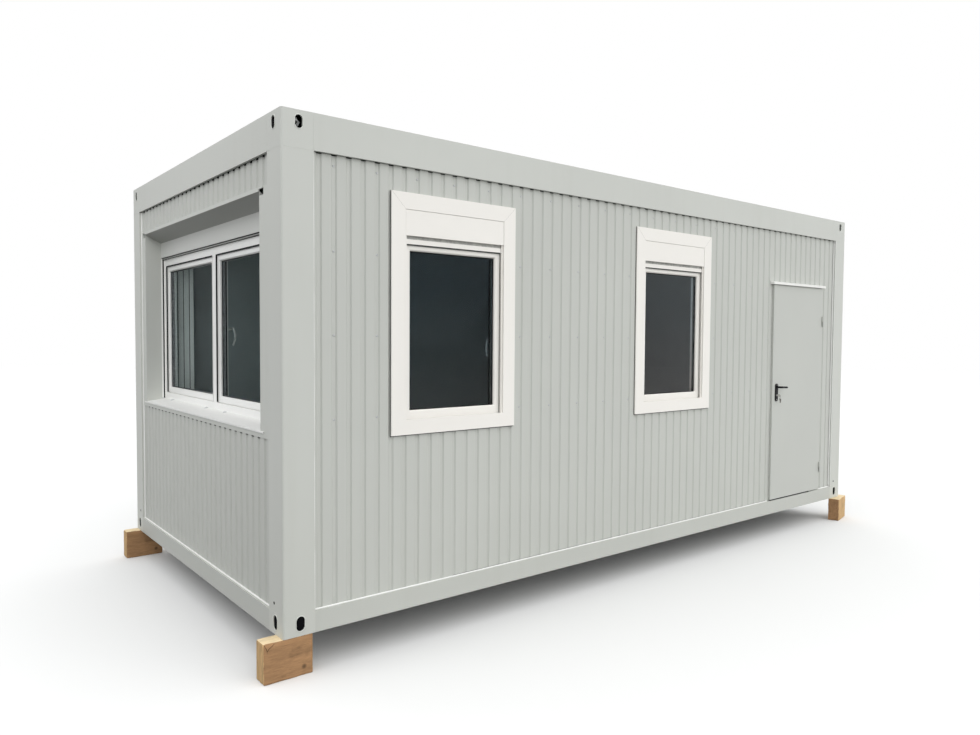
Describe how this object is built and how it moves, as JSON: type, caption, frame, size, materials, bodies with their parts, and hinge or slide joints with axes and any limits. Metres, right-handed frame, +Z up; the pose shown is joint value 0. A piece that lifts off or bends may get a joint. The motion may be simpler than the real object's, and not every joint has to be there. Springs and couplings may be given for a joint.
{
  "type": "site cabin in container form",
  "caption": "Steel-framed site cabin with ribbed walls, shuttered windows, a niche window in one end and a hinged door, standing on timber blocks.",
  "frame": {"origin": "on the ground under the middle of the cabin", "axes": "+X along the long sides, away from the end with the niche window; +Y from the door side to the plain rear side; +Z up"},
  "size_m": [6.274, 3.17, 3.04],
  "materials": {
    "timber": "rough sawn",
    "frame_paint": "satin light grey",
    "roof_steel": "galvanised, satin",
    "deck_board": "matt board",
    "inner_board": "white lining board",
    "cladding_paint": "satin light grey",
    "white_pvc": "smooth white",
    "shutter_paint": "satin light grey",
    "window_glass": "double glazing",
    "door_paint": "satin light grey",
    "black_handle": "satin black",
    "lock_metal": "brushed nickel"
  },
  "bodies": {
    "cabin": {"timber_blocks": "timber", "corner_posts": "frame_paint", "base_corner_castings": "frame_paint", "roof_corner_castings": "frame_paint", "base_side_rails": "frame_paint", "base_end_rails": "frame_paint", "roof_side_rails": "frame_paint", "roof_end_rails": "frame_paint", "roof_sheet": "roof_steel", "floor_joists": "roof_steel", "floor_deck": "deck_board", "ceiling_panel": "inner_board", "front_wall_piers": "inner_board", "front_wall_spandrels": "inner_board", "rear_wall": "inner_board", "right_wall": "inner_board", "left_wall_piers": "inner_board", "left_wall_spandrels": "inner_board", "front_cladding": "cladding_paint", "rear_cladding": "cladding_paint", "right_cladding": "cladding_paint", "left_cladding": "cladding_paint", "niche_lining": "cladding_paint", "window_left_trim": "white_pvc", "window_right_trim": "white_pvc", "window_left_frame": "white_pvc", "window_right_frame": "white_pvc", "window_left_sash": "white_pvc", "window_right_sash": "white_pvc", "window_left_shutter": "white_pvc", "window_right_shutter": "white_pvc", "niche_sill": "white_pvc", "gable_window_frame": "white_pvc", "gable_window_sashes": "white_pvc", "gable_shutter_guides": "white_pvc", "gable_shutter_box": "shutter_paint", "window_left_glass": "window_glass", "window_right_glass": "window_glass", "gable_window_glass": "window_glass", "door_frame": "door_paint", "door_drip": "door_paint"},
    "door": {"door_leaf": "door_paint", "door_handle_plates": "black_handle", "door_lock": "lock_metal"},
    "lever": {"door_lever": "black_handle"}
  },
  "joints": [
    {"name": "door_hinge", "type": "hinge", "parent": "cabin", "child": "door", "pos_m": [2.609, -1.505, 1.35], "axis": [0, 0, 1], "range_deg": [0, 110]},
    {"name": "lever_turn", "type": "hinge", "parent": "door", "child": "lever", "pos_m": [1.789, -1.465, 1.4], "axis": [0, 1, 0], "range_deg": [0, 40], "stiffness_Nm_per_rad": 2, "springref_deg": -28.65}
  ]
}
